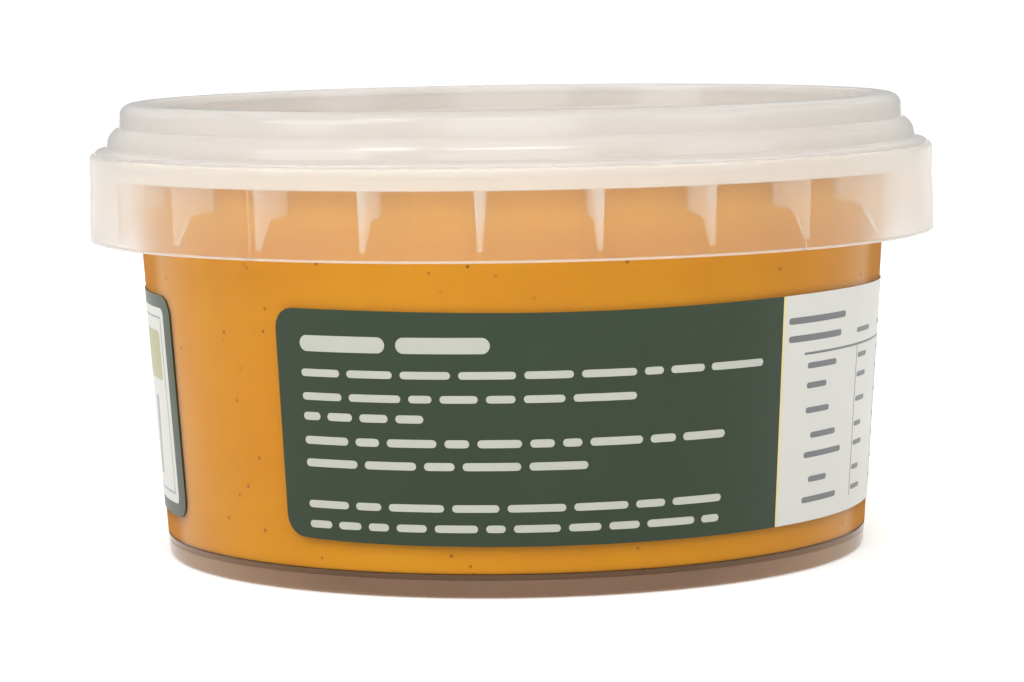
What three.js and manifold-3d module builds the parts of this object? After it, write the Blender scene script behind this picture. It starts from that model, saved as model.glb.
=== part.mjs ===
// A closed round snap tub of smoked salmon dip: a clear tapered bowl with a ribbed collar round
// its top, the dip that fills it, a frosted lid snapped in behind the collar, and two labels.
// Millimetres, +Z up. The origin is the centre of the foot ring, on the surface it stands on.
// Angles go round the tub in degrees, from the front (-Y) towards +X.

import * as THREE from 'three';
import { mergeVertices } from 'three/addons/utils/BufferGeometryUtils.js';
import Module from 'manifold-3d';

// Flat strips in one full turn, and steps in each rounded corner of a turned outline
const turnSteps = 72;
const cornerSteps = 3;

// Clear space left between pieces that touch in the real tub
const clearance = 0.3;

const bowl = {
  footRadius: 39.4,
  taper: 0.0675, // outward run of the wall for each millimetre of height
  wall: 0.8,
  footHeight: 1.9, // hollow under the floor
  footWall: 1.2,
  footEdge: 0.4, // rounding of the foot's outer corner
  floor: 0.6,
  corner: 1.2, // rounding between floor and wall, inside
  lipRadius: 42.4, // the wall goes on above the web as an upright lip
  lipTop: 49.2,
};

const collar = {
  radiusBelow: 47.5,
  radiusAbove: 47.35,
  wall: 0.7,
  rimWall: 0.5,
  bottom: 35.55,
  top: 45.15,
  webBottom: 42.8, // the web is the shelf that joins collar and bowl
  webTop: 44,
};

const ribs = {
  count: 24,
  first: -4,
  rootWidth: 1.1,
  tipWidth: 0.75,
  tip: 36.6,
  wallEnd: 40, // height of the free edge at the bowl
  kneeRadius: 45, // the free edge turns down here
  knee: 39.6,
  weld: 0.3, // how far a rib runs into what carries it
};

// The ribs go on above the web as short studs on the lip
const studs = {
  reach: 43,
  top: 45.9,
  width: 0.95,
};

// The collar tears open from a slit, and a nick marks the far end of the tear strip
const tear = {
  slitAngle: -35,
  slitWidth: 0.35,
  nickAngle: 39.95,
  nickWidth: 0.4,
  nickTop: 36.4,
};

const lid = {
  wall: 0.8,
  panelTop: 47.6,
  panelFillet: 0.7,
  plugRadius: 41.3, // the inner wall of the ring, which plugs the lip
  plugBottom: 43.9,
  plugLeadIn: 0.9,
  ringRadius: 44,
  ringSpring: 49.3, // height where the ring starts to round over
  crest: 50.7,
  crestRadius: 42.4,
  firstStep: 47.8, // foot of the ring, where the first shoulder starts
  firstStepRadius: 44.15,
  secondStep: 46.1,
  secondStepRadius: 45.45,
  edgeRadius: 46.55,
  edgeSpring: 45.2,
};

const dip = {
  level: 43.1,
  swell: 0.6, // how far the top rises and falls
  ripple: 13, // distance from one hump to the next, over two pi
};

const label = {
  bottom: 5.5,
  top: 30.1,
  span: 152,
  corner: 2.2,
  thickness: 0.2,
  clearance: 0.15,
  columns: 44,
  cornerColumns: 4,
  backStart: -37,
  frontStart: -216.8,
};

const radians = THREE.MathUtils.degToRad;
const wallRadius = (z) => bowl.footRadius + bowl.taper * z;
const floorTop = bowl.footHeight + bowl.floor;

const wasm = await Module();
wasm.setup();

function solidOf(geometry) {
  geometry.deleteAttribute('normal');
  geometry.deleteAttribute('uv');
  const shared = mergeVertices(geometry);
  const corners = shared.index.array;
  const triVerts = [];
  for (let i = 0; i < corners.length; i += 3) {
    const [a, b, c] = corners.slice(i, i + 3);
    // A triangle that has shrunk to a line at the axis is left out
    if (a !== b && b !== c && c !== a) triVerts.push(a, b, c);
  }
  return new wasm.Manifold(new wasm.Mesh({
    numProp: 3,
    vertProperties: shared.attributes.position.array,
    triVerts: Uint32Array.from(triVerts),
  }));
}

function geometryOf(solid) {
  const mesh = solid.getMesh();
  const geometry = new THREE.BufferGeometry();
  geometry.setAttribute('position', new THREE.BufferAttribute(mesh.vertProperties, 3));
  geometry.setIndex(new THREE.BufferAttribute(mesh.triVerts, 1));
  geometry.computeVertexNormals();
  return geometry;
}

// Turns an outline of radius and height about +Z, with the ribs in the middle of a strip
function turned(outline) {
  const start = radians(ribs.first + 180 / turnSteps);
  const geometry = new THREE.LatheGeometry(outline.getPoints(cornerSteps), turnSteps, start);
  return geometry.rotateX(Math.PI / 2);
}

// Stands a shape of radius and height, with its width along the third axis, at an angle
function standAt(geometry, angle) {
  return geometry.rotateX(Math.PI / 2).rotateZ(radians(angle - 90));
}

function collarRadius(z) {
  return THREE.MathUtils.mapLinear(z, collar.bottom, collar.top, collar.radiusBelow, collar.radiusAbove);
}

function tubOutline() {
  const inside = (z) => wallRadius(z) - bowl.wall;
  const footInside = bowl.footRadius - bowl.footWall;
  const lipInside = bowl.lipRadius - bowl.wall;
  const collarInside = (z) => collarRadius(z) - collar.wall;
  const outline = new THREE.Path();
  outline.moveTo(0, bowl.footHeight);
  outline.lineTo(footInside, bowl.footHeight);
  outline.lineTo(footInside, 0);
  outline.lineTo(bowl.footRadius - bowl.footEdge, 0);
  outline.quadraticCurveTo(bowl.footRadius, 0, wallRadius(bowl.footEdge), bowl.footEdge);
  outline.lineTo(wallRadius(collar.webBottom), collar.webBottom);
  outline.lineTo(collarInside(collar.webBottom), collar.webBottom);
  outline.lineTo(collarInside(collar.bottom), collar.bottom);
  outline.lineTo(collar.radiusBelow, collar.bottom);
  outline.lineTo(collar.radiusAbove, collar.top);
  outline.lineTo(collar.radiusAbove - collar.rimWall, collar.top);
  outline.lineTo(collar.radiusAbove - collar.rimWall, collar.webTop);
  outline.lineTo(bowl.lipRadius, collar.webTop);
  outline.lineTo(bowl.lipRadius, bowl.lipTop);
  outline.lineTo(lipInside, bowl.lipTop);
  outline.lineTo(inside(collar.webTop), collar.webTop);
  outline.lineTo(inside(floorTop + bowl.corner), floorTop + bowl.corner);
  outline.quadraticCurveTo(inside(floorTop), floorTop, inside(floorTop) - bowl.corner, floorTop);
  outline.lineTo(0, floorTop);
  return outline;
}

// A fin under the web, carried by bowl, web and collar, that thins towards its tip
function rib(angle) {
  const collarSide = collar.radiusAbove - collar.wall + ribs.weld;
  const bowlSide = wallRadius(ribs.wallEnd) - ribs.weld;
  const topEdge = collar.webBottom + ribs.weld;
  const side = new THREE.Shape();
  side.moveTo(bowlSide, ribs.wallEnd);
  side.lineTo(ribs.kneeRadius, ribs.knee);
  side.lineTo(collarRadius(ribs.tip) - collar.wall, ribs.tip);
  side.lineTo(collarSide, ribs.tip);
  side.lineTo(collarSide, topEdge);
  side.lineTo(bowlSide, topEdge);
  const geometry = new THREE.ExtrudeGeometry(side, { depth: 1, bevelEnabled: false });
  geometry.translate(0, 0, -0.5);
  const place = geometry.attributes.position;
  for (let i = 0; i < place.count; i += 1) {
    const width = THREE.MathUtils.mapLinear(place.getY(i), ribs.tip, topEdge, ribs.tipWidth, ribs.rootWidth);
    place.setZ(i, place.getZ(i) * width);
  }
  return standAt(geometry, angle);
}

// A block from one radius and height to another, of the given width
function block(innerRadius, outerRadius, bottom, top, width, angle) {
  const geometry = new THREE.BoxGeometry(outerRadius - innerRadius, top - bottom, width);
  geometry.translate((innerRadius + outerRadius) / 2, (bottom + top) / 2, 0);
  return standAt(geometry, angle);
}

function tubGeometry() {
  let tub = solidOf(turned(tubOutline()));
  for (let i = 0; i < ribs.count; i += 1) {
    const angle = ribs.first + (360 / ribs.count) * i;
    tub = tub.add(solidOf(rib(angle)));
    const root = bowl.lipRadius - ribs.weld;
    const studBase = collar.webTop - ribs.weld;
    tub = tub.add(solidOf(block(root, studs.reach, studBase, studs.top, studs.width, angle)));
  }
  const cutInside = collar.radiusAbove - collar.wall - clearance;
  const cutOutside = collar.radiusBelow + clearance;
  const cutBottom = collar.bottom - clearance;
  const slit = block(cutInside, cutOutside, cutBottom, collar.webBottom, tear.slitWidth, tear.slitAngle);
  const nick = block(cutInside, cutOutside, cutBottom, tear.nickTop, tear.nickWidth, tear.nickAngle);
  return geometryOf(tub.subtract(solidOf(slit)).subtract(solidOf(nick)));
}

// The lid is one thin shell: panel, ring over the lip, two shoulders and an upright edge
function lidOutline() {
  const plugInside = lid.plugRadius - lid.wall;
  const panelBottom = lid.panelTop - lid.wall;
  const ringInside = lid.ringRadius - lid.wall;
  const edgeBottom = collar.webTop + clearance;
  const edgeInside = lid.edgeRadius - lid.wall;
  const outline = new THREE.Path();
  outline.moveTo(0, panelBottom);
  outline.lineTo(plugInside, panelBottom);
  outline.lineTo(plugInside, lid.plugBottom);
  outline.lineTo(lid.plugRadius - clearance, lid.plugBottom);
  outline.lineTo(lid.plugRadius, lid.plugBottom + lid.plugLeadIn);
  outline.lineTo(lid.plugRadius, lid.ringSpring);
  outline.lineTo(lid.plugRadius + clearance, lid.crest - lid.wall);
  outline.lineTo(ringInside - clearance, lid.crest - lid.wall);
  outline.lineTo(ringInside, lid.ringSpring);
  outline.lineTo(lid.firstStepRadius - lid.wall, lid.firstStep - lid.wall / 2);
  outline.lineTo(lid.secondStepRadius - lid.wall, lid.secondStep - lid.wall / 2);
  outline.lineTo(edgeInside, lid.edgeSpring);
  outline.lineTo(edgeInside, edgeBottom);
  outline.lineTo(lid.edgeRadius, edgeBottom);
  outline.lineTo(lid.edgeRadius, lid.edgeSpring);
  outline.quadraticCurveTo(lid.edgeRadius, lid.secondStep, lid.secondStepRadius, lid.secondStep);
  outline.quadraticCurveTo(lid.secondStepRadius, lid.firstStep, lid.firstStepRadius, lid.firstStep);
  outline.lineTo(lid.ringRadius, lid.ringSpring);
  outline.quadraticCurveTo(lid.ringRadius, lid.crest, lid.crestRadius, lid.crest);
  outline.quadraticCurveTo(lid.plugRadius, lid.crest, lid.plugRadius - lid.wall / 2, lid.ringSpring);
  outline.lineTo(plugInside, lid.panelTop + lid.panelFillet);
  outline.quadraticCurveTo(plugInside, lid.panelTop, plugInside - lid.panelFillet, lid.panelTop);
  outline.lineTo(0, lid.panelTop);
  return outline;
}

function dipGeometry() {
  const skin = (z) => wallRadius(z) - bowl.wall - clearance;
  const bottom = floorTop + clearance;
  const rimRadius = skin(dip.level);
  const outline = new THREE.Path();
  outline.moveTo(0, bottom);
  outline.lineTo(skin(bottom) - bowl.corner, bottom);
  outline.quadraticCurveTo(skin(bottom), bottom, skin(bottom + bowl.corner), bottom + bowl.corner);
  outline.lineTo(rimRadius, dip.level);
  for (const inward of [0.85, 0.6, 0.3, 0]) outline.lineTo(rimRadius * inward, dip.level);
  const geometry = turned(outline);
  const place = geometry.attributes.position;
  for (let i = 0; i < place.count; i += 1) {
    const x = place.getX(i);
    const y = place.getY(i);
    const isTop = place.getZ(i) > dip.level - dip.swell;
    const fromRim = 1 - Math.hypot(x, y) / rimRadius;
    const wave = Math.sin(x / dip.ripple + 1) * Math.cos(y / dip.ripple);
    if (isTop) place.setZ(i, dip.level + dip.swell * Math.min(1, 4 * fromRim) * wave);
  }
  return geometry;
}

// Distance of a column from the label's start: the columns bunch up in the rounded corners
function columnPlace(column, length) {
  const fromEnd = Math.min(column, label.columns - column);
  const turn = (Math.PI / 2) * Math.min(1, fromEnd / label.cornerColumns);
  const inCorner = label.corner * (1 - Math.cos(turn));
  if (column <= label.cornerColumns) return inCorner;
  if (label.columns - column <= label.cornerColumns) return length - inCorner;
  const share = (column - label.cornerColumns) / (label.columns - 2 * label.cornerColumns);
  return label.corner + (length - 2 * label.corner) * share;
}

// A label is a thin box bent round the wall, with its end columns cut short as round corners
function labelGeometry(start) {
  const radius = wallRadius((label.bottom + label.top) / 2);
  const length = radians(label.span) * radius;
  const geometry = new THREE.BoxGeometry(1, 1, 1, label.columns, 1, 1);
  const place = geometry.attributes.position;
  for (let i = 0; i < place.count; i += 1) {
    const along = columnPlace(Math.round((place.getX(i) + 0.5) * label.columns), length);
    const short = Math.max(0, label.corner - Math.min(along, length - along));
    const inset = label.corner - Math.sqrt(label.corner ** 2 - short ** 2);
    const z = place.getY(i) > 0 ? label.top - inset : label.bottom + inset;
    const lift = label.clearance + (place.getZ(i) > 0 ? label.thickness : 0);
    const r = wallRadius(z) + lift;
    const angle = radians(start) + along / radius;
    place.setXYZ(i, r * Math.sin(angle), -r * Math.cos(angle), z);
  }
  geometry.computeVertexNormals();
  return geometry;
}

const clearPlastic = new THREE.MeshStandardMaterial({
  color: 0xe6ddd2, roughness: 0.15, metalness: 0, transparent: true, opacity: 0.4,
});
const frostedPlastic = new THREE.MeshStandardMaterial({
  color: 0xe6ddd5, roughness: 0.35, metalness: 0, transparent: true, opacity: 0.7,
});
const salmonDip = new THREE.MeshStandardMaterial({ color: 0xdb902f, roughness: 0.5, metalness: 0 });
const greenLabel = new THREE.MeshStandardMaterial({ color: 0x444b3a, roughness: 0.4, metalness: 0 });
const whiteLabel = new THREE.MeshStandardMaterial({ color: 0xe6e2da, roughness: 0.4, metalness: 0 });

function part(name, geometry, material) {
  const mesh = new THREE.Mesh(geometry, material);
  mesh.name = name;
  return mesh;
}

const tubOfDip = new THREE.Group();
tubOfDip.add(part('tub', tubGeometry(), clearPlastic));
tubOfDip.add(part('dip', dipGeometry(), salmonDip));
tubOfDip.add(part('lid', turned(lidOutline()), frostedPlastic));
tubOfDip.add(part('back_label', labelGeometry(label.backStart), greenLabel));
tubOfDip.add(part('front_label', labelGeometry(label.frontStart), whiteLabel));

export default tubOfDip;
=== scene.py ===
import math
import random

import bmesh
import bpy
from mathutils import Matrix, Vector


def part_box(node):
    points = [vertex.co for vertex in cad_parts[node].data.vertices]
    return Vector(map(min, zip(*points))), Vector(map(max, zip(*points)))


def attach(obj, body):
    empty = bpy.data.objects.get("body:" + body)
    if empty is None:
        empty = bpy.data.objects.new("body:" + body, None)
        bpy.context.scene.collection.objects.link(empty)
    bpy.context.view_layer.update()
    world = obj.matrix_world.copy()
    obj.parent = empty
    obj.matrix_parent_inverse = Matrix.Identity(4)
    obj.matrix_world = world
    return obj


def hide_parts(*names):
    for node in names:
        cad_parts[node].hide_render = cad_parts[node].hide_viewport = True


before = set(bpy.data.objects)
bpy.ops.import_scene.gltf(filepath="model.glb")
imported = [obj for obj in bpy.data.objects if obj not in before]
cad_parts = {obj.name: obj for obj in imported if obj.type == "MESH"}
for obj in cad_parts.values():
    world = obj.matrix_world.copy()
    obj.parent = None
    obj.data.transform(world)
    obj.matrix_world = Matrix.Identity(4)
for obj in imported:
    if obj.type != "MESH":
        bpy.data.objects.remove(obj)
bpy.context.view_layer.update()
mm = 0.001
scene = bpy.context.scene
print("frame loaded:", sorted(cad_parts))

# corners of the nodes that the pieces are fitted to, in millimetres
tubHigh = [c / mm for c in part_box("tub")[1]]
lidLow, lidHigh = [[c / mm for c in corner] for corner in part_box("lid")]
labelLow, labelHigh = [[c / mm for c in corner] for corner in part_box("back_label")]

# where the photo was taken from, with the tub's axis at the middle of the picture
view = {
    "lens": 131.22,
    "sensor": 36.0,
    "distance": 422.13,
    "height": 65.14,
    "pan": 0.026,
    "tiltDown": 5.707,
    "roll": -0.899,
    "nearest": 10,
}


def aimCamera():
    lens = bpy.data.cameras.new("photoCamera")
    lens.lens = view["lens"]
    lens.sensor_width = view["sensor"]
    lens.clip_start = view["nearest"] * mm
    camera = bpy.data.objects.new("photoCamera", lens)
    scene.collection.objects.link(camera)
    tilt = Matrix.Rotation(math.radians(90 - view["tiltDown"]), 4, "X")
    roll = Matrix.Rotation(math.radians(view["roll"]), 4, "Z")
    pan = Matrix.Rotation(math.radians(view["pan"]), 4, "Z")
    place = Matrix.Translation((0, -view["distance"] * mm, view["height"] * mm))
    camera.matrix_world = place @ pan @ tilt @ roll
    scene.camera = camera


studio = {
    # light from the sky by height, and how much of it is left on the camera's side of the tub
    "skyColour": (1.0, 0.99, 0.975),
    "horizon": 0.48,
    "zenith": 0.88,
    "fullHeight": 0.45,
    "cameraSide": 0.8,
    "sideCone": (-0.98, -0.30),
    # the table is lit a little from below, as a light table is
    "floorSize": 40000,
    "floorDrop": 0.05,
    "floorColour": (0.93, 0.925, 0.92),
    "floorRoughness": 0.9,
    "floorGloss": 0.1,
    "floorGlow": 0.33,
    # light crosses many thin walls before it leaves the tub again
    "bounces": 24,
    "volumeBounces": 5,
    # name, degrees to the right of the camera, degrees up, distance, width and height in mm, watts
    "softboxes": (
        ("softboxFront", 0, 28, 620, 480, 240, 0.42),
        ("softboxHigh", 0, 50, 620, 360, 120, 0.5),
        ("softboxHighLeft", -43, 48, 620, 160, 140, 0.28),
        ("softboxTop", 0, 90, 600, 420, 420, 0.1),
        ("softboxLeft", -60, 30, 700, 420, 320, 0.66),
        ("softboxRight", 62, 30, 700, 420, 320, 0.4),
    ),
    "aim": (0, 0, 25),
}


def lightSky():
    world = bpy.data.worlds.new("studioWorld")
    scene.world = world
    world.use_nodes = True
    tree = world.node_tree
    way = addNode(tree, "ShaderNodeTexCoord").outputs["Generated"]
    split = addNode(tree, "ShaderNodeSeparateXYZ", {"Vector": way})
    rise = addNode(tree, "ShaderNodeMapRange", {
        "Value": split.outputs["Z"], "From Min": 0.0, "From Max": studio["fullHeight"],
        "To Min": studio["horizon"], "To Max": studio["zenith"]})
    coneFrom, coneTo = studio["sideCone"]
    front = addNode(tree, "ShaderNodeMapRange", {
        "Value": split.outputs["Y"], "From Min": coneFrom, "From Max": coneTo,
        "To Min": studio["cameraSide"], "To Max": 1.0}, interpolation_type="SMOOTHSTEP")
    light = mathOf(tree, "MULTIPLY", rise.outputs[0], front.outputs[0])
    background = tree.nodes["Background"]
    background.inputs["Color"].default_value = (*studio["skyColour"], 1)
    tree.links.new(light, background.inputs["Strength"])


def lightStudio():
    lightSky()
    aim = Vector(studio["aim"]) * mm
    for name, right, up, distance, width, height, watts in studio["softboxes"]:
        light = bpy.data.lights.new(name, "AREA")
        light.shape = "ELLIPSE"
        light.size = width * mm
        light.size_y = height * mm
        light.energy = watts
        turn, rise = math.radians(right), math.radians(up)
        level = math.cos(rise)
        way = Vector((math.sin(turn) * level, -math.cos(turn) * level, math.sin(rise)))
        lamp = bpy.data.objects.new(name, light)
        lamp.location = aim + way * distance * mm
        lamp.rotation_euler = (-way).to_track_quat("-Z", "Y").to_euler()
        scene.collection.objects.link(lamp)
    half = studio["floorSize"] * mm / 2
    low = -studio["floorDrop"] * mm
    sheet = bpy.data.meshes.new("floor")
    corners = [(-half, -half, low), (half, -half, low), (half, half, low), (-half, half, low)]
    sheet.from_pydata(corners, [], [(0, 1, 2, 3)])
    floor = bpy.data.objects.new("floor", sheet)
    scene.collection.objects.link(floor)
    paint = newMaterial("floorPaper")
    paint["shader"].inputs["Base Color"].default_value = (*studio["floorColour"], 1)
    paint["shader"].inputs["Roughness"].default_value = studio["floorRoughness"]
    paint["shader"].inputs["Specular IOR Level"].default_value = studio["floorGloss"]
    paint["shader"].inputs["Emission Color"].default_value = (1, 1, 1, 1)
    paint["shader"].inputs["Emission Strength"].default_value = studio["floorGlow"]
    sheet.materials.append(paint["material"])
    scene.view_settings.view_transform = "Standard"
    scene.cycles.max_bounces = studio["bounces"]
    scene.cycles.transmission_bounces = studio["bounces"]
    scene.cycles.transparent_max_bounces = studio["bounces"]
    scene.cycles.volume_bounces = studio["volumeBounces"]


def newMaterial(name):
    material = bpy.data.materials.new(name)
    material.use_nodes = True
    nodes = material.node_tree.nodes
    return {
        "material": material,
        "tree": material.node_tree,
        "shader": nodes["Principled BSDF"],
    }


def addNode(tree, kind, inputs=None, **settings):
    node = tree.nodes.new(kind)
    for name, value in settings.items():
        setattr(node, name, value)
    for name, value in (inputs or {}).items():
        if isinstance(value, bpy.types.NodeSocket):
            tree.links.new(value, node.inputs[name])
        else:
            node.inputs[name].default_value = value
    return node


def mathOf(tree, operation, first, second):
    return addNode(tree, "ShaderNodeMath", {0: first, 1: second}, operation=operation).outputs[0]


def objectPlace(paint):
    return addNode(paint["tree"], "ShaderNodeTexCoord").outputs["Object"]


def noiseOf(paint, scale, detail=2.0, roughness=0.5):
    noise = addNode(paint["tree"], "ShaderNodeTexNoise", {
        "Vector": objectPlace(paint), "Scale": scale, "Detail": detail, "Roughness": roughness})
    return noise.outputs["Fac"]


def rangeOf(paint, value, low, high, fromLow=0.0, fromHigh=1.0):
    spread = addNode(paint["tree"], "ShaderNodeMapRange", {
        "Value": value, "From Min": fromLow, "From Max": fromHigh, "To Min": low, "To Max": high})
    return spread.outputs["Result"]


def blendOf(paint, factor, first, second):
    node = addNode(paint["tree"], "ShaderNodeMix", data_type="RGBA")
    for number, value in ((0, factor), (6, first), (7, second)):
        socket = node.inputs[number]
        if isinstance(value, bpy.types.NodeSocket):
            paint["tree"].links.new(value, socket)
        elif socket.type == "RGBA":
            socket.default_value = (*value, 1)
        else:
            socket.default_value = value
    return node.outputs[2]


def wire(paint, name, value):
    paint["tree"].links.new(value, paint["shader"].inputs[name])


def bumpFrom(paint, height, strength, distance):
    inputs = {"Height": height, "Strength": strength, "Distance": distance * mm}
    wire(paint, "Normal", addNode(paint["tree"], "ShaderNodeBump", inputs).outputs["Normal"])


# the moulded walls are all a little uneven
moulding = {
    "flowScale": 80,
    "bump": 0.3,
    "sheenBlur": 0.45,
}

# milk is the pale matter in the plastic, density how much of it a metre of wall holds,
# and onward how far it sends the light on instead of back; edge is where the glass turns
# to edgeGlass, from 0, seen straight on, to 1, seen edge on
milkyLook = {
    "glass": (1.0, 0.98, 0.94),
    "edgeGlass": (0.93, 0.905, 0.875),
    "edge": (0.55, 0.75),
    "clearness": 0.975,
    "ior": 1.13,
    "blur": (0.28, 0.36),
    "ripple": 0.004,
    "gloss": 0.3,
    "glossBlur": 0.08,
    "sheen": 0.15,
    "milk": (0.93, 0.89, 0.82),
    "density": 115,
    "onward": 0.5,
}

ribLook = {
    "glass": (0.965, 0.95, 0.93),
    "clearness": 0.93,
    "ior": 1.10,
    "blur": (0.25, 0.35),
    "ripple": 0.004,
    "gloss": 0.6,
    "glossBlur": 0.06,
    "sheen": 0.2,
    "milk": (0.995, 0.98, 0.955),
    "density": 190,
    "onward": 0.2,
}

webLook = {
    "glass": (0.86, 0.85, 0.83),
    "clearness": 0.72,
    "ior": 1.13,
    "blur": (0.25, 0.35),
    "ripple": 0.004,
    "gloss": 0.3,
    "glossBlur": 0.1,
    "sheen": 0.0,
    "milk": (0.985, 0.97, 0.945),
    "density": 160,
    "onward": 0.2,
}

frostedLook = {
    "glass": (0.81, 0.78, 0.745),
    "clearness": 0.66,
    "ior": 1.28,
    "blur": (0.15, 0.22),
    "ripple": 0.001,
    "gloss": 0.75,
    "glossBlur": 0.08,
    "sheen": 0.0,
    "milk": (0.96, 0.942, 0.915),
    "density": 160,
    "onward": 0.2,
}

# the clear foot ring is painted brown: painted shade for the dim hollow under the tub, lit orange
# by the dip, and painted lighter where it is seen edge on, where more light comes through
footShadeLook = {
    "glass": (0.54, 0.375, 0.26),
    "edgeGlass": (1.0, 0.76, 0.53),
    "edge": (0.15, 0.55),
    "clearness": 0.8,
    "ior": 1.2,
    "blur": (0.10, 0.15),
    "ripple": 0.004,
    "gloss": 0.1,
    "glossBlur": 0.06,
    "sheen": 0.0,
    "milk": (0.46, 0.29, 0.18),
    "density": 1100,
    "onward": 0.0,
}

# the bowl's floor is painted darker than the foot: a line of painted shade above the foot
floorShadeLook = dict(footShadeLook, glass=(0.34, 0.225, 0.14), edgeGlass=(0.60, 0.43, 0.29))

# the bowl's wall: seen nearly edge on, it mirrors less and its glass takes a darker, warmer tint,
# so the dip shows deeper: painted shade for the dark band along the wall's edges
clearLook = {
    "glass": (0.995, 0.99, 0.98),
    "edgeGlass": (0.95, 0.90, 0.82),
    "edge": (0.70, 0.77),
    "edgeMirror": 0.4,
    "mostMirror": 0.13,
    "ior": 1.37,
    "mirrorIor": 1.27,
    "roughness": (0.02, 0.05),
    "ripple": 0.008,
}


def mixShaders(tree, factor, first, second):
    node = addNode(tree, "ShaderNodeMixShader", {0: factor})
    tree.links.new(first, node.inputs[1])
    tree.links.new(second, node.inputs[2])
    return node.outputs[0]


# lamps and sky shine straight through to what the tub holds
def letLampsIn(tree, shader):
    lampRay = addNode(tree, "ShaderNodeLightPath").outputs["Is Shadow Ray"]
    window = addNode(tree, "ShaderNodeBsdfTransparent")
    skin = mixShaders(tree, lampRay, shader, window.outputs[0])
    tree.links.new(skin, tree.nodes["Material Output"].inputs["Surface"])


# how far the glass is turned edge on, from 0 to 1
def edgeOf(paint, look):
    facing = addNode(paint["tree"], "ShaderNodeLayerWeight", {"Blend": 0.5}).outputs["Facing"]
    return rangeOf(paint, facing, 0.0, 1.0, *look["edge"])


def milkyWall(name, look):
    paint = newMaterial(name)
    tree = paint["tree"]
    shader = paint["shader"]
    flow = noiseOf(paint, moulding["flowScale"], 1)
    shader.inputs["Base Color"].default_value = (*look["glass"], 1)
    # for the foot ring this edge tint is painted light: the ring is lighter where it is seen edge
    # on
    if "edgeGlass" in look:
        tint = blendOf(paint, edgeOf(paint, look), look["glass"], look["edgeGlass"])
        wire(paint, "Base Color", tint)
    shader.inputs["Transmission Weight"].default_value = look["clearness"]
    shader.inputs["IOR"].default_value = look["ior"]
    shader.inputs["Coat Weight"].default_value = look["gloss"]
    shader.inputs["Coat Roughness"].default_value = look["glossBlur"]
    shader.inputs["Sheen Weight"].default_value = look["sheen"]
    shader.inputs["Sheen Roughness"].default_value = moulding["sheenBlur"]
    wire(paint, "Roughness", rangeOf(paint, flow, *look["blur"]))
    bumpFrom(paint, flow, moulding["bump"], look["ripple"])
    letLampsIn(tree, shader.outputs[0])
    milk = addNode(tree, "ShaderNodeVolumePrincipled", {
        "Color": (*look["milk"], 1), "Density": look["density"], "Anisotropy": look["onward"]})
    tree.links.new(milk.outputs[0], tree.nodes["Material Output"].inputs["Volume"])
    return paint["material"]


def clearWall(name, look):
    paint = newMaterial(name)
    tree = paint["tree"]
    tree.nodes.remove(paint["shader"])
    flow = noiseOf(paint, moulding["flowScale"], 1)
    polish = rangeOf(paint, flow, *look["roughness"])
    bump = addNode(tree, "ShaderNodeBump", {
        "Height": flow, "Strength": moulding["bump"], "Distance": look["ripple"] * mm})
    normal = bump.outputs["Normal"]
    edge = edgeOf(paint, look)
    # edge on, the glass turns to the darker edgeGlass tint: painted shade
    bare = addNode(tree, "ShaderNodeBsdfRefraction", {
        "Color": blendOf(paint, edge, look["glass"], look["edgeGlass"]),
        "Roughness": polish, "IOR": look["ior"], "Normal": normal})
    mirror = addNode(tree, "ShaderNodeFresnel", {"IOR": look["mirrorIor"], "Normal": normal})
    capped = mathOf(tree, "MINIMUM", mirror.outputs[0], look["mostMirror"])
    strength = mathOf(tree, "MULTIPLY", capped, rangeOf(paint, edge, 1.0, look["edgeMirror"]))
    gloss = addNode(tree, "ShaderNodeBsdfAnisotropic", {
        "Color": (1, 1, 1, 1), "Roughness": polish, "Normal": normal})
    letLampsIn(tree, mixShaders(tree, strength, bare.outputs[0], gloss.outputs[0]))
    return paint["material"]


dipLook = {
    "pale": (0.765, 0.33, 0.005),
    "deep": (0.70, 0.27, 0.0025),
    "speck": (0.33, 0.09, 0.005),
    # painted light: a brighter band near the dip's top, behind the collar, for the light the milky
    # collar sends onto it: colour, and heights in mm
    "paintedLight": (0.87, 0.39, 0.005),
    "paintedLightBottom": (36.5, 39.5),
    "paintedLightTop": (40.5, 42.5),
    "roughness": 0.5,
    # the wall wets the dip, so it has hardly any gloss of its own
    "gloss": 0.05,
    "speckScale": 600,
    "speckSize": 0.15,
    # specks lie only where this noise is high
    "patchScale": 160,
    "patchRange": (0.52, 0.60),
    "cloudScale": 55,
    "cloudRange": (0.3, 0.7),
    "waveScale": 90,
    "wave": (0.1, 0.03),
}


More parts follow.
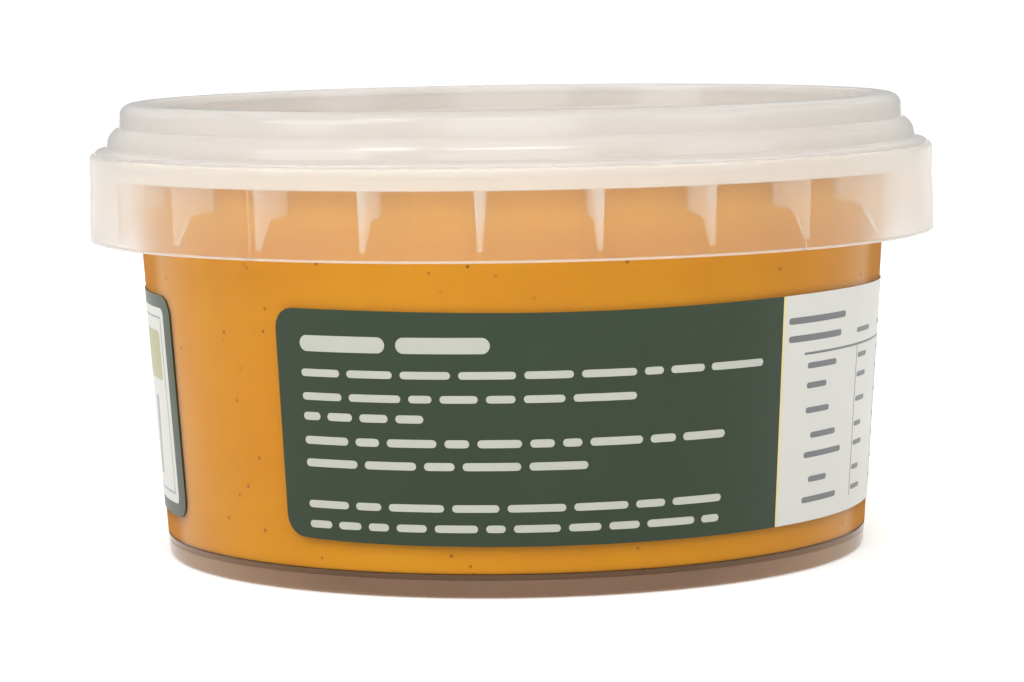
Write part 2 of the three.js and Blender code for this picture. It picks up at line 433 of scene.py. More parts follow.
def salmonDip():
    paint = newMaterial("salmonDip")
    tree = paint["tree"]
    cloudNoise = noiseOf(paint, dipLook["cloudScale"], 4, 0.6)
    clouds = rangeOf(paint, cloudNoise, 0.0, 1.0, *dipLook["cloudRange"])
    place = addNode(tree, "ShaderNodeSeparateXYZ", {"Vector": objectPlace(paint)})
    height = place.outputs["Z"]
    paintedLightRise = rangeOf(paint, height, 0.0, 1.0, *[z * mm for z in dipLook["paintedLightBottom"]])
    paintedLightFade = rangeOf(paint, height, 1.0, 0.0, *[z * mm for z in dipLook["paintedLightTop"]])
    plain = blendOf(paint, clouds, dipLook["pale"], dipLook["deep"])
    # the dip's colour is painted lighter in that band: painted light, not the dip's own colour
    body = blendOf(paint, mathOf(tree, "MULTIPLY", paintedLightRise, paintedLightFade), plain, dipLook["paintedLight"])
    cells = addNode(tree, "ShaderNodeTexVoronoi", {
        "Vector": objectPlace(paint), "Scale": dipLook["speckScale"]})
    size = dipLook["speckSize"]
    near = rangeOf(paint, cells.outputs["Distance"], 1.0, 0.0, size * 0.5, size)
    patchNoise = noiseOf(paint, dipLook["patchScale"], 1)
    patches = rangeOf(paint, patchNoise, 0.0, 1.0, *dipLook["patchRange"])
    specks = mathOf(tree, "MULTIPLY", near, patches)
    wire(paint, "Base Color", blendOf(paint, specks, body, dipLook["speck"]))
    paint["shader"].inputs["Roughness"].default_value = dipLook["roughness"]
    paint["shader"].inputs["Specular IOR Level"].default_value = dipLook["gloss"]
    bumpFrom(paint, noiseOf(paint, dipLook["waveScale"], 1), *dipLook["wave"])
    return paint["material"]


# two shades of each ink, then the film's gloss and grain
labelLook = {
    "green": ((0.019, 0.036, 0.017), (0.024, 0.042, 0.021)),
    "white": ((0.585, 0.59, 0.55), (0.56, 0.56, 0.52)),
    "pale": ((0.47, 0.48, 0.43), (0.42, 0.43, 0.39)),
    "dark": ((0.13, 0.13, 0.14), (0.17, 0.17, 0.18)),
    "line": ((0.70, 0.60, 0.30), (0.62, 0.54, 0.28)),
    "olive": ((0.40, 0.37, 0.19), (0.36, 0.34, 0.18)),
    "slate": ((0.26, 0.31, 0.33), (0.22, 0.27, 0.29)),
    "gloss": 0.3,
    "roughness": (0.32, 0.42),
    "mottleScale": 240,
    "glossScale": 90,
    "grainScale": 900,
    "grain": (0.2, 0.01),
}


def filmInk(name):
    paint = newMaterial(name + "Ink")
    mottle = noiseOf(paint, labelLook["mottleScale"], 3)
    wire(paint, "Base Color", blendOf(paint, mottle, *labelLook[name]))
    glossNoise = noiseOf(paint, labelLook["glossScale"], 2)
    wire(paint, "Roughness", rangeOf(paint, glossNoise, *labelLook["roughness"]))
    paint["shader"].inputs["Specular IOR Level"].default_value = labelLook["gloss"]
    bumpFrom(paint, noiseOf(paint, labelLook["grainScale"], 2), *labelLook["grain"])
    return paint["material"]


def newTree(name, sockets):
    tree = bpy.data.node_groups.new(name, "GeometryNodeTree")
    tree.interface.new_socket("Geometry", in_out="INPUT", socket_type="NodeSocketGeometry")
    for label, kind in sockets:
        tree.interface.new_socket(label, in_out="INPUT", socket_type="NodeSocket" + kind)
    tree.interface.new_socket("Geometry", in_out="OUTPUT", socket_type="NodeSocketGeometry")
    return tree


def setInputs(modifier, values):
    for item in modifier.node_group.interface.items_tree:
        if item.in_out == "INPUT" and item.name in values:
            modifier[item.identifier] = values[item.name]


# vertices nearer than weld are one and edges under sliver go, in mm; sharp edges in degrees
meshing = {
    "weld": 0.002,
    "sliver": 0.001,
    "sharp": 32,
    "filmSharp": 40,
}


def bakeTree(source, tree, values, name):
    modifier = source.modifiers.new("build", "NODES")
    modifier.node_group = tree
    setInputs(modifier, values)
    depsgraph = bpy.context.evaluated_depsgraph_get()
    mesh = bpy.data.meshes.new_from_object(source.evaluated_get(depsgraph), depsgraph=depsgraph)
    source.modifiers.remove(modifier)
    bpy.data.objects.remove(source)
    return finishMesh(mesh, name)


def finishMesh(mesh, name, sharp=meshing["sharp"]):
    shape = bmesh.new()
    shape.from_mesh(mesh)
    bmesh.ops.remove_doubles(shape, verts=shape.verts, dist=meshing["weld"] * mm)
    bmesh.ops.dissolve_degenerate(shape, edges=shape.edges, dist=meshing["sliver"] * mm)
    bmesh.ops.recalc_face_normals(shape, faces=shape.faces)
    shape.to_mesh(mesh)
    shape.free()
    mesh.name = name
    mesh.shade_smooth()
    mesh.set_sharp_from_angle(angle=math.radians(sharp))
    return linked(name, mesh)


# each shell is (part number, closed or not, corners), and a corner is radius, height and rounding
def outlineObject(name, shells):
    points, edges, parts = [], [], []
    for part, closed, corners in shells:
        first = len(points)
        points += corners
        parts += [part] * len(corners)
        edges += [(i, i + 1) for i in range(first, len(points) - 1)]
        if closed:
            edges.append((len(points) - 1, first))
    outline = bpy.data.meshes.new(name)
    outline.from_pydata([(r * mm, z * mm, 0) for r, z, _ in points], edges, [])
    rounding = outline.attributes.new("rounding", "FLOAT", "POINT")
    number = outline.attributes.new("part", "FLOAT", "POINT")
    for i, point in enumerate(points):
        rounding.data[i].value = point[2] * mm
        number.data[i].value = parts[i]
    return linked(name, outline)


def linked(name, mesh):
    piece = bpy.data.objects.new(name, mesh)
    scene.collection.objects.link(piece)
    return piece


turning = {"Turn steps": 288, "Corner steps": 5, "Path radius": 20 * mm}


def turnedGeometry(tree, given):
    read = given.outputs
    curve = addNode(tree, "GeometryNodeMeshToCurve", {"Mesh": read["Geometry"]})
    rounding = addNode(
        tree, "GeometryNodeInputNamedAttribute", {"Name": "rounding"}, data_type="FLOAT")
    rounded = addNode(tree, "GeometryNodeFilletCurve", {
        "Curve": curve.outputs[0], "Count": read["Corner steps"],
        "Radius": rounding.outputs["Attribute"], "Limit Radius": True}, mode="POLY")
    # the sweep carries a point at x out to path radius + x, and a point at y down to -y
    back = mathOf(tree, "MULTIPLY", read["Path radius"], -1.0)
    shift = addNode(tree, "ShaderNodeCombineXYZ", {"X": back})
    moved = addNode(tree, "GeometryNodeTransform", {
        "Geometry": rounded.outputs[0], "Translation": shift.outputs[0]})
    flipped = addNode(tree, "GeometryNodeTransform", {
        "Geometry": moved.outputs[0], "Scale": (1, -1, 1)})
    path = addNode(tree, "GeometryNodeCurvePrimitiveCircle", {
        "Resolution": read["Turn steps"], "Radius": read["Path radius"]})
    sweep = addNode(tree, "GeometryNodeCurveToMesh", {
        "Curve": path.outputs[0], "Profile Curve": flipped.outputs[0]})
    closed = addNode(tree, "GeometryNodeMergeByDistance", {
        "Geometry": sweep.outputs[0], "Distance": meshing["weld"] * mm})
    return closed.outputs[0]


def turnedTree():
    tree = newTree("turned", (
        ("Turn steps", "Int"), ("Corner steps", "Int"), ("Path radius", "Float"),
        ("Finish", "Material")))
    given = tree.nodes.new("NodeGroupInput")
    shape = turnedGeometry(tree, given)
    real = addNode(tree, "GeometryNodeRealizeInstances", {"Geometry": shape})
    dressed = addNode(tree, "GeometryNodeSetMaterial", {
        "Geometry": real.outputs[0], "Material": given.outputs["Finish"]})
    result = tree.nodes.new("NodeGroupOutput")
    tree.links.new(dressed.outputs[0], result.inputs[0])
    return tree


# the tub in millimetres, with the collar's radius and height as the frame has them
tub = {
    "footRadius": 39.4,
    "taper": 0.0675,
    "wall": 0.8,
    "footHeight": 1.9,
    "footWall": 1.2,
    "floor": 0.6,
    "collarRadius": tubHigh[0],
    "collarTaper": 0.15,
    "collarWall": 0.7,
    "collarRim": 0.5,
    "bead": 0.26,
    "collarBottom": 35.55,
    "collarTop": 45.15,
    "webBottom": 42.8,
    "webTop": 44.0,
    "lipRadius": 42.4,
    "lipTop": tubHigh[2],
    "seam": 0.02,
    # roundings of the corners
    "footRound": 0.5,
    "footInsideRound": 0.3,
    "floorRound": 0.05,
    "seamRound": 0.1,
    "rimRound": 0.4,
    "edgeRound": 0.12,
    "beadJoinRound": 0.02,
    "webRound": 0.15,
    "lipRound": 0.3,
}


def wallRadius(z):
    return tub["footRadius"] + tub["taper"] * z


# the tub's shells, each a hair from the next, so that each holds its own milk
def tubShells():
    t = tub
    gap = t["seam"]
    rimRadius = t["collarRadius"] - t["collarTaper"]
    collarInside = t["collarRadius"] - t["collarWall"]
    footInside = t["footRadius"] - t["footWall"]
    floorTop = t["footHeight"] + t["floor"]
    wallBottom = floorTop + gap
    wallTop = t["webTop"] - gap
    beadTop = t["collarBottom"] + t["bead"]
    wall = (
        (wallRadius(wallBottom) - t["wall"], wallBottom, 0),
        (wallRadius(wallBottom), wallBottom, 0),
        (wallRadius(wallTop), wallTop, t["seamRound"]),
        (wallRadius(wallTop) - t["wall"], wallTop, t["seamRound"]),
    )
    floor = (
        (0, t["footHeight"], 0),
        (wallRadius(t["footHeight"]), t["footHeight"], t["floorRound"]),
        (wallRadius(floorTop), floorTop, t["floorRound"]),
        (0, floorTop, 0),
    )
    foot = (
        (footInside, 0, t["footInsideRound"]),
        (t["footRadius"], 0, t["footRound"]),
        (wallRadius(t["footHeight"] - gap), t["footHeight"] - gap, t["seamRound"]),
        (footInside, t["footHeight"] - gap, t["seamRound"]),
    )
    bead = (
        (collarInside, t["collarBottom"], t["edgeRound"]),
        (t["collarRadius"], t["collarBottom"], t["edgeRound"]),
        (t["collarRadius"], beadTop - gap, t["beadJoinRound"]),
        (collarInside, beadTop - gap, t["beadJoinRound"]),
    )
    collar = (
        (collarInside, beadTop, t["beadJoinRound"]),
        (t["collarRadius"], beadTop, t["beadJoinRound"]),
        (rimRadius, t["collarTop"], t["rimRound"]),
        (rimRadius - t["collarRim"], t["collarTop"], t["edgeRound"]),
    )
    web = (
        (wallRadius(t["webBottom"]) + gap, t["webBottom"], t["webRound"]),
        (collarInside - gap, t["webBottom"], t["webRound"]),
        (collarInside - gap, t["webTop"], t["webRound"]),
        (wallRadius(t["webTop"]) + gap, t["webTop"], t["webRound"]),
    )
    lip = (
        (t["lipRadius"] - t["wall"], t["webTop"], t["seamRound"]),
        (t["lipRadius"], t["webTop"], t["seamRound"]),
        (t["lipRadius"], t["lipTop"], t["lipRound"]),
        (t["lipRadius"] - t["wall"], t["lipTop"], t["lipRound"]),
    )
    return (
        (0, True, wall), (4, False, floor), (1, True, foot),
        (2, True, collar), (2, True, lip), (3, True, web), (3, True, bead),
    )


# in the order of the part numbers above
tubFinishes = ("Clear finish", "Foot shade finish", "Milky finish", "Web finish", "Floor shade finish")

# the ribs under the web, the studs above it, and the two cuts in the collar; angles in
# degrees from the front
ribs = {
    "count": 24,
    "first": -4,
    "rootWidth": 1.1,
    "tipWidth": 0.5,
    "tip": 36.6,
    "tipReach": 0.3,
    "wallEnd": 40.0,
    "kneeRadius": 45.0,
    "knee": 39.6,
    "edgeRound": 0.12,
    "roundSteps": 2,
    "roundShape": 0.6,
    "studReach": 42.9,
    "studTop": 45.9,
    "studWidth": 0.95,
    "slitAngle": -35.0,
    "slitWidth": 0.12,
    "nickAngle": 39.95,
    "nickWidth": 0.15,
    "nickTop": 36.4,
    "cutReach": 0.5,
}


def bladeMesh(outline, widthAt, roundEdge):
    shape = bmesh.new()
    sides = []
    for side in (-1, 1):
        places = [(r * mm, side * widthAt(z) / 2 * mm, z * mm) for r, z in outline]
        sides.append([shape.verts.new(place) for place in places])
    shape.faces.new(sides[0])
    shape.faces.new(list(reversed(sides[1])))
    for i in range(len(outline)):
        j = (i + 1) % len(outline)
        shape.faces.new((sides[0][j], sides[0][i], sides[1][i], sides[1][j]))
    bmesh.ops.recalc_face_normals(shape, faces=shape.faces)
    if roundEdge:
        bmesh.ops.bevel(
            shape, geom=shape.edges, offset=roundEdge * mm, affect="EDGES",
            segments=ribs["roundSteps"], profile=ribs["roundShape"])
    mesh = bpy.data.meshes.new("blade")
    shape.to_mesh(mesh)
    shape.free()
    return mesh


def blockOutline(inner, outer, bottom, top):
    return ((inner, bottom), (outer, bottom), (outer, top), (inner, top))


def ribBlank():
    r = ribs
    gap = tub["seam"]
    collarSide = tub["collarRadius"] - tub["collarWall"] - gap
    topEdge = tub["webBottom"] - gap
    side = (
        (wallRadius(r["wallEnd"]) + gap, r["wallEnd"]), (r["kneeRadius"], r["knee"]),
        (collarSide - r["tipReach"], r["tip"]), (collarSide, r["tip"]), (collarSide, topEdge),
        (wallRadius(topEdge) + gap, topEdge),
    )

    def widthAt(z):
        share = (z - r["tip"]) / (topEdge - r["tip"])
        return r["tipWidth"] + (r["rootWidth"] - r["tipWidth"]) * share

    stud = blockOutline(tub["lipRadius"] + gap, r["studReach"], tub["webTop"] + gap, r["studTop"])
    shape = bmesh.new()
    shape.from_mesh(bladeMesh(side, widthAt, r["edgeRound"]))
    shape.from_mesh(bladeMesh(stud, lambda z: r["studWidth"], r["edgeRound"]))
    mesh = bpy.data.meshes.new("ribBlank")
    shape.to_mesh(mesh)
    shape.free()
    return linked("ribBlank", mesh)


def tearCuts(finish):
    inner = tub["collarRadius"] - tub["collarWall"] - ribs["cutReach"]
    outer = tub["collarRadius"] + ribs["cutReach"]
    bottom = tub["collarBottom"] - ribs["cutReach"]
    shape = bmesh.new()
    for angle, width, top in (
        (ribs["slitAngle"], ribs["slitWidth"], tub["webBottom"]),
        (ribs["nickAngle"], ribs["nickWidth"], ribs["nickTop"]),
    ):
        mesh = bladeMesh(blockOutline(inner, outer, bottom, top), lambda z: width, 0)
        mesh.transform(Matrix.Rotation(math.radians(angle - 90), 4, "Z"))
        shape.from_mesh(mesh)
    mesh = bpy.data.meshes.new("tearCuts")
    shape.to_mesh(mesh)
    shape.free()
    mesh.materials.append(finish)
    return linked("tearCuts", mesh)


def tubTree():
    tree = newTree("ribbedTub", (
        ("Turn steps", "Int"), ("Corner steps", "Int"), ("Path radius", "Float"),
        ("Rib blank", "Object"), ("Rib count", "Int"), ("First rib", "Float"),
        ("Tear cuts", "Object"),
        *((name, "Material") for name in tubFinishes), ("Rib finish", "Material")))
    given = tree.nodes.new("NodeGroupInput")
    read = given.outputs
    shell = turnedGeometry(tree, given)
    part = addNode(tree, "GeometryNodeInputNamedAttribute", {"Name": "part"}, data_type="FLOAT")
    for number, name in enumerate(tubFinishes):
        same = addNode(tree, "FunctionNodeCompare", {
            "A": part.outputs["Attribute"], "B": float(number), "Epsilon": 0.1}, operation="EQUAL")
        shell = addNode(tree, "GeometryNodeSetMaterial", {
            "Geometry": shell, "Selection": same.outputs[0], "Material": read[name]}).outputs[0]
    cuts = addNode(tree, "GeometryNodeObjectInfo", {"Object": read["Tear cuts"]})
    torn = addNode(tree, "GeometryNodeMeshBoolean", {
        "Mesh 1": shell, "Mesh 2": cuts.outputs["Geometry"]},
        operation="DIFFERENCE", solver="MANIFOLD")
    spots = addNode(tree, "GeometryNodePoints", {"Count": read["Rib count"]})
    step = mathOf(tree, "DIVIDE", 2 * math.pi, read["Rib count"])
    index = addNode(tree, "GeometryNodeInputIndex")
    turn = addNode(tree, "ShaderNodeMath", {0: index.outputs[0], 1: step, 2: read["First rib"]},
                   operation="MULTIPLY_ADD")
    spin = addNode(tree, "ShaderNodeCombineXYZ", {"Z": turn.outputs[0]})
    blank = addNode(tree, "GeometryNodeObjectInfo", {"Object": read["Rib blank"]})
    fins = addNode(tree, "GeometryNodeInstanceOnPoints", {
        "Points": spots.outputs[0], "Instance": blank.outputs["Geometry"],
        "Rotation": spin.outputs[0]})
    realFins = addNode(tree, "GeometryNodeRealizeInstances", {"Geometry": fins.outputs[0]})
    dressedFins = addNode(tree, "GeometryNodeSetMaterial", {
        "Geometry": realFins.outputs[0], "Material": read["Rib finish"]})
    whole = addNode(tree, "GeometryNodeJoinGeometry")
    tree.links.new(dressedFins.outputs[0], whole.inputs[0])
    tree.links.new(torn.outputs["Mesh"], whole.inputs[0])
    result = tree.nodes.new("NodeGroupOutput")
    tree.links.new(whole.outputs[0], result.inputs[0])
    return tree


def makeTub(finish):
    blank = ribBlank()
    cuts = tearCuts(finish["Milky finish"])
    values = dict(turning)
    values["Rib blank"] = blank
    values["Rib count"] = ribs["count"]
    values["First rib"] = math.radians(ribs["first"] - 90)
    values["Tear cuts"] = cuts
    values.update(finish)
    outline = outlineObject("tubOutline", tubShells())
    piece = bakeTree(outline, tubTree(), values, "tubShell")
    bpy.data.objects.remove(blank)
    bpy.data.objects.remove(cuts)
    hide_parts("tub")
    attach(piece, "root")


lid = {
    "wall": 0.8,
    "panelTop": 47.6,
    "plugRadius": 41.3,
    "plugBottom": lidLow[2],
    "crestRadius": 43.8,
    "crest": lidHigh[2],
    "firstStep": 48.1,
    "firstStepRadius": 44.15,
    "secondStep": 45.9,
    "secondStepRadius": 45.55,
    "edgeRadius": 46.8,
    "edgeTop": 45.5,
    "edgeBottom": 44.02,
    # the plug's lead-in, how far the underside lies below each step, and the lean of two slopes
    "leadWidth": 0.2,
    "leadHeight": 1,
    "underFirst": 0.5,
    "underSecond": 0.6,
    "shoulderIn": 0.35,
    "shoulderDrop": 0.75,
    "ringLean": 0.35,
    # roundings of the corners
    "insideRound": 0.3,
    "plugRound": 0.5,
    "underCrestRound": 0.6,
    "underFirstRound": 0.4,
    "rimRound": 0.15,
    "edgeRound": 0.5,
    "ledgeRound": 0.1,
    "shoulderRound": 2.4,
    "firstStepRound": 0.06,
    "crestRound": 1.4,
    "ringRound": 0.4,
    "panelRound": 0.7,
}


def lidCorners():
    v = lid
    w = v["wall"]
    plugInside = v["plugRadius"] - w
    shoulderRadius = v["secondStepRadius"] - v["shoulderIn"]
    return (
        (0, v["panelTop"] - w, 0),
        (plugInside, v["panelTop"] - w, v["insideRound"]),
        (plugInside, v["plugBottom"], v["insideRound"]),
        (v["plugRadius"] - v["leadWidth"], v["plugBottom"], v["insideRound"]),
        (v["plugRadius"], v["plugBottom"] + v["leadHeight"], v["plugRound"]),
        (v["plugRadius"], v["crest"] - w, v["plugRound"]),
        (v["crestRadius"] - w, v["crest"] - w, v["underCrestRound"]),
        (v["firstStepRadius"] - w, v["firstStep"] - v["underFirst"], v["underFirstRound"]),
        (v["secondStepRadius"] - w, v["secondStep"] - v["underSecond"], v["insideRound"]),
        (v["edgeRadius"] - w, v["edgeTop"] - w, v["insideRound"]),
        (v["edgeRadius"] - w, v["edgeBottom"], v["rimRound"]),
        (v["edgeRadius"], v["edgeBottom"], v["rimRound"]),
        (v["edgeRadius"], v["edgeTop"], v["edgeRound"]),
        (v["secondStepRadius"], v["secondStep"], v["ledgeRound"]),
        (shoulderRadius, v["firstStep"] - v["shoulderDrop"], v["shoulderRound"]),
        (v["firstStepRadius"], v["firstStep"], v["firstStepRound"]),
        (v["crestRadius"], v["crest"], v["crestRound"]),
        (plugInside + v["ringLean"], v["crest"], v["ringRound"]),
        (plugInside, v["panelTop"], v["panelRound"]),
        (0, v["panelTop"], 0),
    )


def makeLid(finish):
    values = dict(turning)
    values["Finish"] = finish
    outline = outlineObject("lidOutline", [(0, False, lidCorners())])
    piece = bakeTree(outline, turnedTree(), values, "frostedLid")
    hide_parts("lid")
    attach(piece, "root")


# the dip's top swells in waves that die out towards its rim
dip = {
    "level": 43.1,
    "swell": 0.6,
    "ripple": 13.0,
    "rippleStart": 1,
    "fromRim": 4,
    "topDepth": 0.5,
    "intoWall": 0.06,
    "bottomRound": 0.3,
    "rimRound": 0.4,
    "rings": (0.97, 0.9, 0.8, 0.7, 0.6, 0.5, 0.4, 0.3, 0.2, 0.1),
}


def dipRadius(z):
    return wallRadius(z) - tub["wall"] + dip["intoWall"]


def makeDip(finish):
    level = dip["level"]
    rim = dipRadius(level)
    bottom = tub["footHeight"] + tub["floor"] - dip["intoWall"]
    corners = [
        (0, bottom, 0),
        (dipRadius(bottom), bottom, dip["bottomRound"]),
        (rim, level, dip["rimRound"]),
    ]
    corners += [(rim * share, level, 0) for share in dip["rings"]]
    corners.append((0, level, 0))
    values = dict(turning)
    values["Finish"] = finish
    outline = outlineObject("dipOutline", [(0, False, corners)])
    piece = bakeTree(outline, turnedTree(), values, "dipFill")
    for vertex in piece.data.vertices:
        x, y, z = vertex.co / mm
        if z > level - dip["topDepth"]:
            fromRim = 1 - math.hypot(x, y) / rim
            wave = math.sin(x / dip["ripple"] + dip["rippleStart"]) * math.cos(y / dip["ripple"])
            vertex.co.z += dip["swell"] * min(1, dip["fromRim"] * fromRim) * wave * mm
    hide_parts("dip")
    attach(piece, "root")


# the films and their print, in mm; angles in degrees from the front, counted to the right
label = {
    "bottom": labelLow[2],
    "top": labelHigh[2],
    "span": 152.0,
    "corner": 2.2,
    "lift": 0.02,
    "thickness": 0.1,
    "inkThickness": 0.008,
    "step": 1.0,
    "cornerSteps": 5,
    "bandHeight": 6,
    "backStart": -37.0,
    "whiteFrom": 43.5,
    "lineWidth": 0.35,
    "frontStart": -216.8,
    "border": 1.45,
    "sideBorder": 2.2,
    # how far the hand-stuck film runs off true at its top, and at the start of its bottom edge,
    # and over how many degrees
    "topWave": 0.14,
    "topWaveLength": 90,
    "bottomCurl": 0.5,
    "bottomCurlLength": 12,
}


def wallPoint(angle, z, lift):
    r = (wallRadius(z) + lift) * mm
    turn = math.radians(angle)
    return Vector((r * math.sin(turn), -r * math.cos(turn), z * mm))


def degrees(length, z):
    return math.degrees(length / wallRadius(z))


# a strip of film or ink bent round the wall, with round corners and closed edges
def addStrip(shape, start, end, bottom, top, corner, lift, thickness, lean=0.0, edges=None):
    corner = min(corner, (top - bottom) / 2, (end - start) / 2 / degrees(1, bottom))
    turn = degrees(corner, (bottom + top) / 2) if corner else 0
    steps = max(2, math.ceil((end - start) / label["step"]))
    angles = {start + (end - start) * i / steps for i in range(steps + 1)}
    for i in range(label["cornerSteps"]):
        part = turn * (1 - math.cos(math.pi / 2 * i / label["cornerSteps"]))
        angles.update((start + part, end - part))
    bands = max(1, round((top - bottom) / label["bandHeight"]))
    columns = []
    for angle in sorted(angles):
        inset = 0
        if corner:
            short = max(0.0, 1 - min(angle - start, end - angle) / turn)
            inset = corner * (1 - math.sqrt(max(0.0, 1 - short ** 2)))
        offBottom, offTop = edges(angle) if edges else (0, 0)
        low, high = bottom + inset + offBottom, top - inset + offTop
        rows = [low + (high - low) * k / bands for k in range(bands + 1)]
        columns.append([])
        for up in (0, thickness):
            places = [wallPoint(angle + lean * (z - bottom), z, lift + up) for z in rows]
            columns[-1].append([shape.verts.new(place) for place in places])
    for left, right in zip(columns, columns[1:]):
        for k in range(bands):
            shape.faces.new((left[1][k], right[1][k], right[1][k + 1], left[1][k + 1]))
            shape.faces.new((left[0][k + 1], right[0][k + 1], right[0][k], left[0][k]))
        shape.faces.new((left[0][0], right[0][0], right[1][0], left[1][0]))
        shape.faces.new((left[1][-1], right[1][-1], right[0][-1], left[0][-1]))
    for ends, flip in ((columns[0], True), (columns[-1], False)):
        for k in range(bands):
            quad = (ends[0][k], ends[1][k], ends[1][k + 1], ends[0][k + 1])
            shape.faces.new(tuple(reversed(quad)) if flip else quad)


def filmPiece(name, strips, ink, node=None):
    shape = bmesh.new()
    for strip in strips:
        addStrip(shape, **strip)
    mesh = bpy.data.meshes.new(name)
    shape.to_mesh(mesh)
    shape.free()
    piece = finishMesh(mesh, name, meshing["filmSharp"])
    piece.data.materials.append(ink)
    if node:
        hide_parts(node)
    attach(piece, "root")


def filmStrip(start, end):
    return {
        "start": start, "end": end, "bottom": label["bottom"], "top": label["top"],
        "corner": label["corner"], "lift": label["lift"], "thickness": label["thickness"],
    }


def inkStrip(start, end, z, height, layer=0, lean=0.0, corner=None):
    return {
        "start": start, "end": end, "bottom": z - height / 2, "top": z + height / 2,
        "corner": height / 2 if corner is None else corner, "lean": lean,
        "lift": label["lift"] + label["thickness"] + layer * label["inkThickness"],
        "thickness": label["inkThickness"],
    }


# plain dashes in the place of each printed row: height of its middle, last angle, height of a dash
backRows = {
    "start": -32.7,
    "rows": (
        (26.6, -3.4, 1.7), (23.5, 39.6, 0.8), (21.0, 18.0, 0.8), (18.9, -13.4, 0.85),
        (16.35, 32.7, 0.85), (13.95, 10.7, 0.85), (9.55, 32.3, 0.8), (7.4, 32.0, 0.8),
    ),
    "headingDashes": 2,
    "headingGap": 1.2,
    "wordLengths": (2.0, 6.2),
    "gap": 0.85,
    "seed": 5,
}

# the white panel: two rows, a rule with a table under it, and its columns of short dashes
table = {
    "introRows": ((27.45, 44.8, 60.3), (25.5, 44.9, 59.1)),
    "dash": 0.65,
    "introShare": 1.1,
    "ruleHeight": 23.78,
    "ruleWidth": 0.26,
    "ruleFrom": 48.8,
    "ruleTo": 108.0,
    "entryFrom": 49.7,
    "indent": 1.5,
    "entries": (
        (22.45, 57.9, 0), (20.3, 55.1, 0), (17.6, 56.2, 0), (14.85, 58.6, 1),
        (12.75, 60.8, 0), (10.05, 56.4, 1), (7.85, 59.9, 0),
    ),
    "columns": (66.2, 80.4, 94.6),
    "columnWidth": 4.4,
    "columnDash": 0.55,
    "columnRuleWidth": 0.14,
    "columnRuleGap": 0.45,
    "columnDashLift": 0.05,
    "belowLast": 0.8,
    "headingHeight": 25.3,
    "headingMargin": 1,
}

# a plain design for the front label: a keyline, a band and a fence of slanted strokes
frontDesign = {
    "keyline": 0.22,
    "keyInset": 1.1,
    "bandBottom": 20.5,
    "bandTop": 26.0,
    "strokes": 16,
    "strokeWidth": 1.5,
    "strokeBottom": 9.6,
    "strokeTop": 18.6,
    "lean": 0.22,
    "fieldCorner": 0.8,
    "strokeCorner": 0.3,
    "bandCorner": 0.5,
}


def wordDashes(z, end, height, draw):
    lengths = backRows["wordLengths"]
    gap = backRows["gap"]
    dashes = []
    at = backRows["start"]
    while at < end - degrees(gap, z):
        reach = at + degrees(draw.uniform(*lengths), z)
        if reach > end - degrees(lengths[0] + gap, z):
            reach = end
        dashes.append(inkStrip(at, reach, z, height))
        at = reach + degrees(gap, z)
    return dashes


def backPrint():
    draw = random.Random(backRows["seed"])
    dashes = []
    for i, (z, end, height) in enumerate(backRows["rows"]):
        if i:
            dashes += wordDashes(z, end, height, draw)
            continue
        count = backRows["headingDashes"]
        gap = degrees(backRows["headingGap"], z)
        step = (end - backRows["start"] + gap) / count
        for k in range(count):
            start = backRows["start"] + k * step
            dashes.append(inkStrip(start, start + step - gap, z, height))
    return dashes


def tablePrint():
    t = table
    introDash = t["dash"] * t["introShare"]
    marks = [inkStrip(start, end, z, introDash) for z, start, end in t["introRows"]]
    marks.append(inkStrip(t["ruleFrom"], t["ruleTo"], t["ruleHeight"], t["ruleWidth"], corner=0))
    for z, end, step in t["entries"]:
        marks.append(inkStrip(t["entryFrom"] + step * t["indent"], end, z, t["dash"]))
    low = t["entries"][-1][0] - t["belowLast"]
    for column in t["columns"]:
        width = degrees(t["columnRuleWidth"], low)
        side = column - degrees(t["columnRuleGap"], low)
        middle = (low + t["ruleHeight"]) / 2
        marks.append(inkStrip(side, side + width, middle, t["ruleHeight"] - low, corner=0))
        end = column + t["columnWidth"]
        margin = t["headingMargin"]
        marks.append(inkStrip(column - margin, end + margin, t["headingHeight"], t["columnDash"]))
        for z, _, step in t["entries"]:
            height = z + t["columnDashLift"]
            marks.append(inkStrip(column, end - step, height, t["columnDash"]))
    return marks


# the film of the back label runs a little off true
def backEdges(angle):
    along = angle - label["backStart"]
    top = label["topWave"] * math.cos(2 * math.pi * along / label["topWaveLength"])
    return label["bottomCurl"] * math.exp(-along / label["bottomCurlLength"]), top


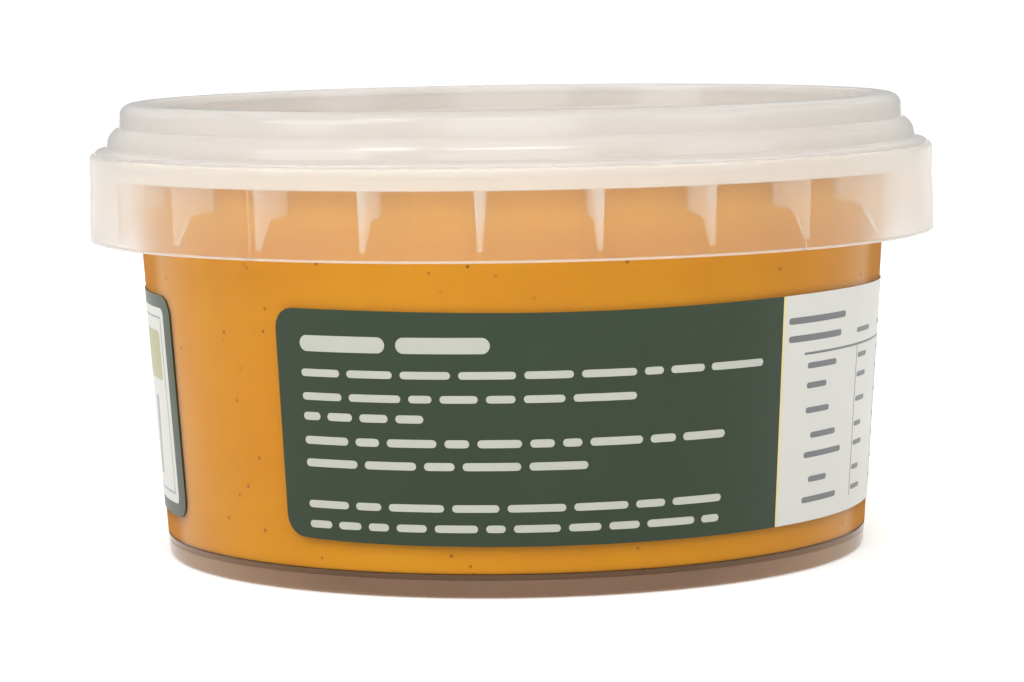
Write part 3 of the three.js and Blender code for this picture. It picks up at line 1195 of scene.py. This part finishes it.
def makeLabels():
    names = ("green", "white", "line", "pale", "dark", "slate", "olive")
    ink = {name: filmInk(name) for name in names}
    backEnd = label["backStart"] + label["span"]
    film = filmStrip(label["backStart"], backEnd)
    film["edges"] = backEdges
    filmPiece("backLabel", [film], ink["green"], "back_label")
    tall = label["top"] - label["bottom"]
    middle = (label["top"] + label["bottom"]) / 2
    panel = inkStrip(label["whiteFrom"], backEnd, middle, tall, corner=0)
    panel["edges"] = backEdges
    filmPiece("whitePanel", [panel], ink["white"])
    lineEnd = label["whiteFrom"] + degrees(label["lineWidth"], middle)
    line = inkStrip(label["whiteFrom"], lineEnd, middle, tall, 1, corner=0)
    line["edges"] = backEdges
    filmPiece("panelLine", [line], ink["line"])
    filmPiece("printedRows", backPrint(), ink["pale"])
    marks = tablePrint()
    for mark in marks:
        mark["lift"] += label["inkThickness"]
    filmPiece("tableMarks", marks, ink["dark"])

    start, end = label["frontStart"], label["frontStart"] + label["span"]
    filmPiece("frontLabel", [filmStrip(start, end)], ink["green"], "front_label")
    side = degrees(label["sideBorder"], middle)
    d = frontDesign
    fieldHeight = tall - 2 * label["border"]
    field = inkStrip(start + side, end - side, middle, fieldHeight, corner=d["fieldCorner"])
    filmPiece("frontField", [field], ink["white"])
    inset = degrees(d["keyInset"], middle)
    left, right = start + side + inset, end - side - inset
    low = label["bottom"] + label["border"] + d["keyInset"]
    high = label["top"] - label["border"] - d["keyInset"]
    thin = degrees(d["keyline"], middle)
    lines = [inkStrip(left, right, z, d["keyline"], 1, corner=0) for z in (low, high)]
    for x in (left, right - thin):
        lines.append(inkStrip(x, x + thin, (low + high) / 2, high - low, 1, corner=0))
    gap = (right - left - 2 * inset) / d["strokes"]
    strokeHeight = d["strokeTop"] - d["strokeBottom"]
    strokeMiddle = d["strokeBottom"] + strokeHeight / 2
    for k in range(d["strokes"]):
        at = left + inset + k * gap
        reach = at + degrees(d["strokeWidth"], middle)
        lines.append(inkStrip(
            at, reach, strokeMiddle, strokeHeight, 1, d["lean"], d["strokeCorner"]))
    filmPiece("frontLines", lines, ink["slate"])
    bandMiddle = (d["bandBottom"] + d["bandTop"]) / 2
    bandHeight = d["bandTop"] - d["bandBottom"]
    band = inkStrip(
        left + inset, right - inset, bandMiddle, bandHeight, 1, corner=d["bandCorner"])
    filmPiece("frontBand", [band], ink["olive"])


aimCamera()
lightStudio()
print("camera and studio set")
makeTub({
    "Clear finish": clearWall("clearPlastic", clearLook),
    "Foot shade finish": milkyWall("footShadePlastic", footShadeLook),
    "Milky finish": milkyWall("milkyPlastic", milkyLook),
    "Web finish": milkyWall("webPlastic", webLook),
    "Floor shade finish": milkyWall("floorShadePlastic", floorShadeLook),
    "Rib finish": milkyWall("ribPlastic", ribLook),
})
print("tub with its ribs made")
makeLid(milkyWall("frostedPlastic", frostedLook))
makeDip(salmonDip())
print("lid and dip made")
makeLabels()
print("labels with their print made")
